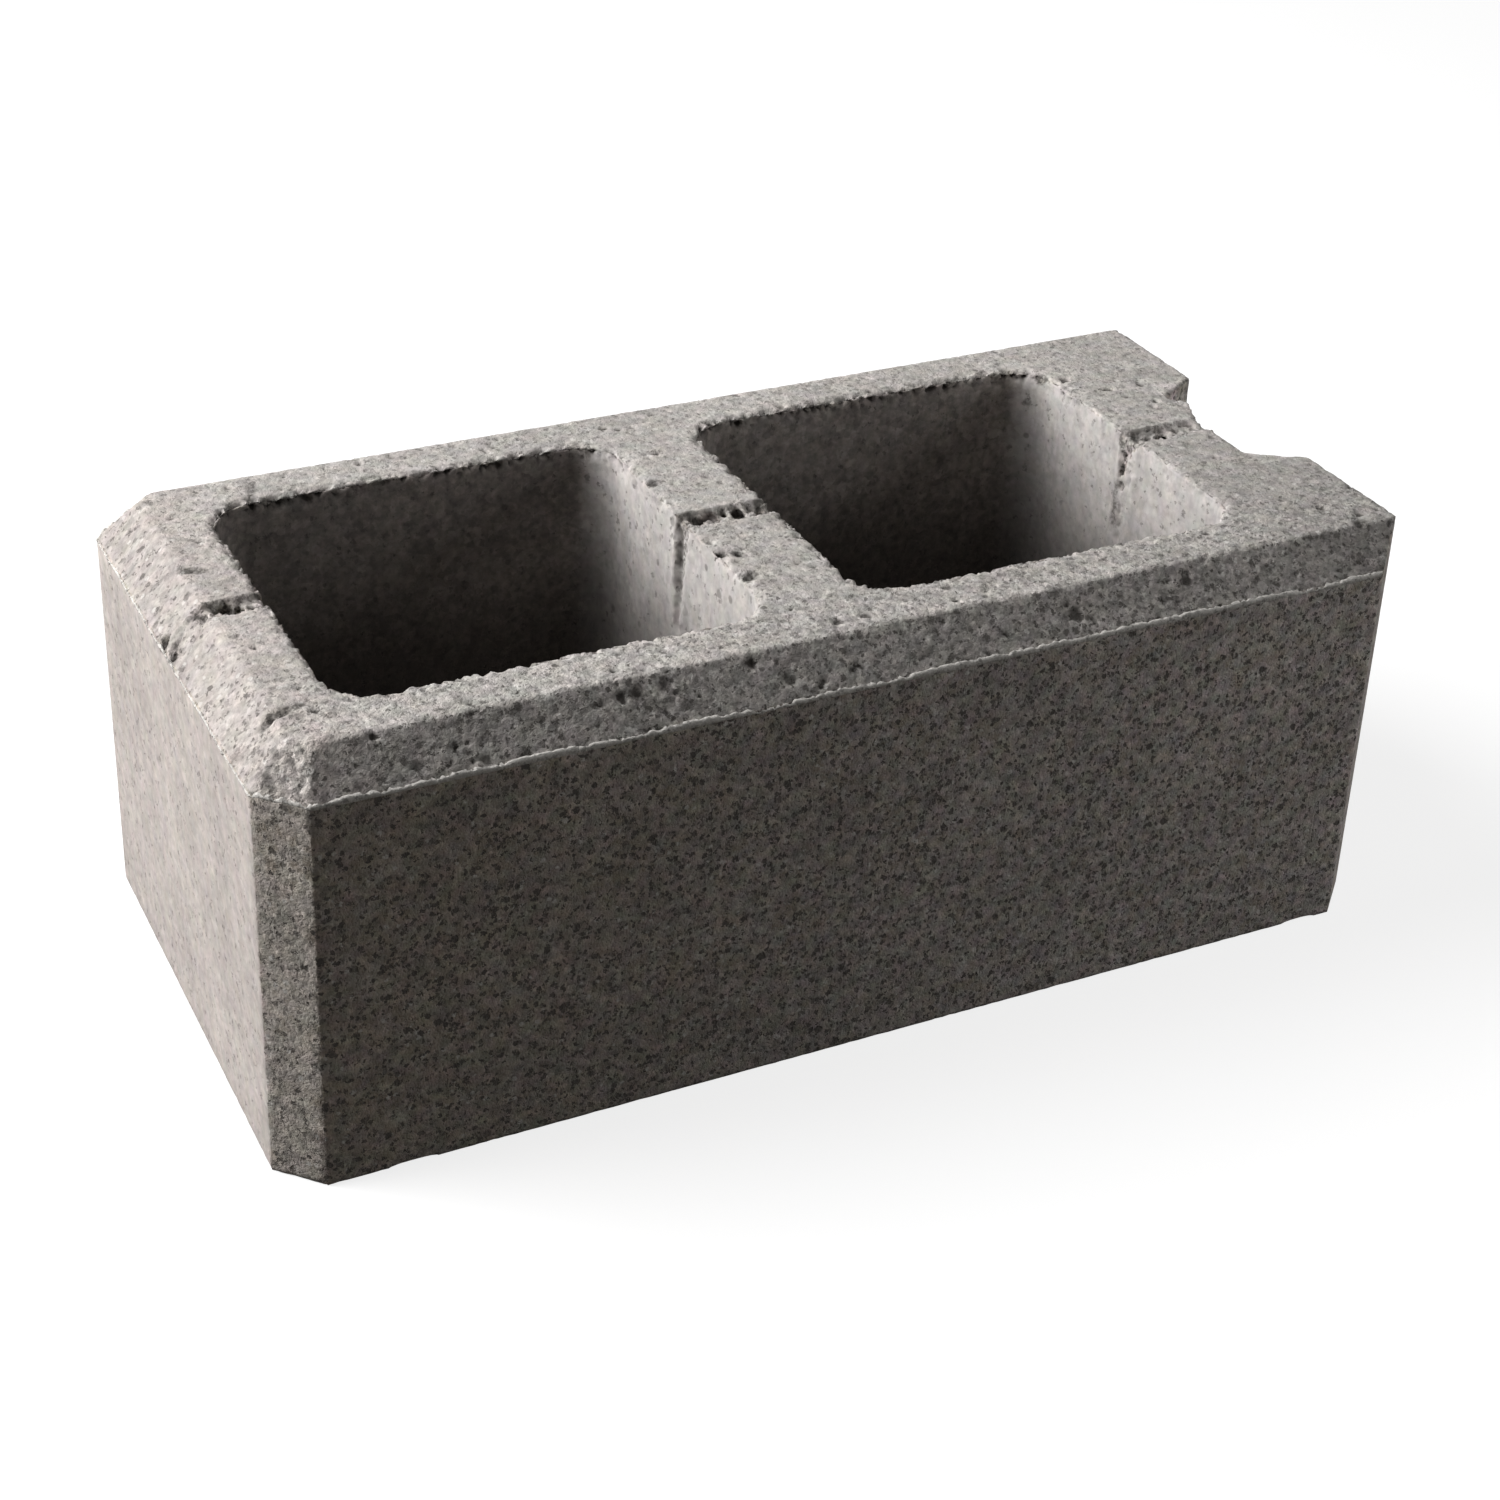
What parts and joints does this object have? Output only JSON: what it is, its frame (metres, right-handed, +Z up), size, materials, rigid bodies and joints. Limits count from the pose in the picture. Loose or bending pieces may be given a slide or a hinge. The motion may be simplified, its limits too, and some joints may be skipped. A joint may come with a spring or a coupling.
{
  "type": "hollow concrete block",
  "caption": "Hollow concrete building block with two through cores, four chamfered corners, a bevelled top edge, one flat end and a mortar recess in the other end.",
  "frame": {"origin": "middle of the block's bounding box in plan, at the underside it stands on", "axes": "+X along the length from the flat end to the recessed end; +Y across the width from the front face to the back face; +Z up, towards the bevelled top"},
  "size_m": [0.4, 0.2, 0.15],
  "materials": {
    "concrete": "rough"
  },
  "bodies": {
    "root": {"block": "concrete"}
  },
  "joints": []
}
